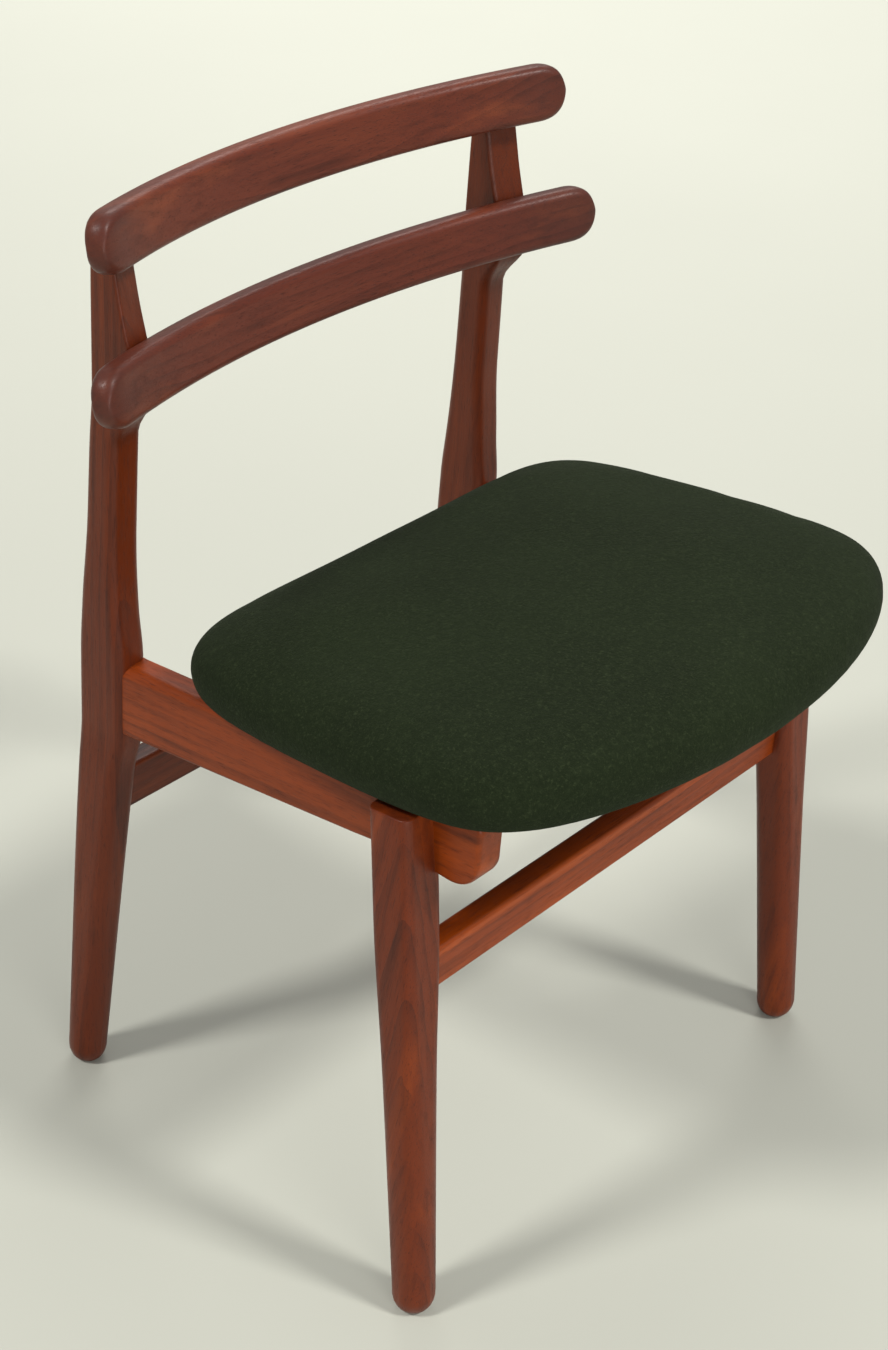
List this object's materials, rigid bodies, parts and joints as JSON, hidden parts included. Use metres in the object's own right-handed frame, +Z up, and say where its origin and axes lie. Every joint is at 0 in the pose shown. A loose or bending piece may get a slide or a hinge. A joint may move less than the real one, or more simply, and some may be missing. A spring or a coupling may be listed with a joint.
{
  "type": "dining chair",
  "caption": "Armless wooden dining chair with two bowed back rails, round tapered legs, stretchers and a thick upholstered pad seat.",
  "frame": {"origin": "on the floor, at the middle of the chair's bounding box", "axes": "+Z up; the sitter faces -Y; +X is the sitter's left"},
  "size_m": [0.5126, 0.4784, 0.7396],
  "materials": {
    "post_teak": "satin",
    "back_teak": "satin",
    "rail_teak": "satin",
    "beech": "matt",
    "plywood": "matt",
    "green_wool": "felted wool",
    "foam": "open cell, stands in for foam rubber",
    "cambric": "plain weave",
    "steel": "zinc plated"
  },
  "bodies": {
    "root": {"back_post_left": "post_teak", "back_post_right": "post_teak", "front_leg_left": "post_teak", "front_leg_right": "post_teak", "side_rail_left": "rail_teak", "side_rail_right": "rail_teak", "front_stretcher": "rail_teak", "rear_stretcher": "post_teak", "top_back_rail": "back_teak", "lower_back_rail": "back_teak", "top_rail_dowel_upper_left": "beech", "top_rail_dowel_upper_right": "beech", "top_rail_dowel_lower_left": "beech", "top_rail_dowel_lower_right": "beech", "lower_rail_dowel_upper_left": "beech", "lower_rail_dowel_upper_right": "beech", "lower_rail_dowel_lower_left": "beech", "lower_rail_dowel_lower_right": "beech", "leg_dowel_front_left": "beech", "leg_dowel_front_right": "beech", "leg_dowel_rear_left": "beech", "leg_dowel_rear_right": "beech", "seat_screw_front_left": "steel", "seat_screw_front_right": "steel", "seat_screw_rear_left": "steel", "seat_screw_rear_right": "steel", "seat_board": "plywood", "seat_foam": "foam", "seat_cover": "green_wool", "seat_dust_cover": "cambric"}
  },
  "joints": []
}
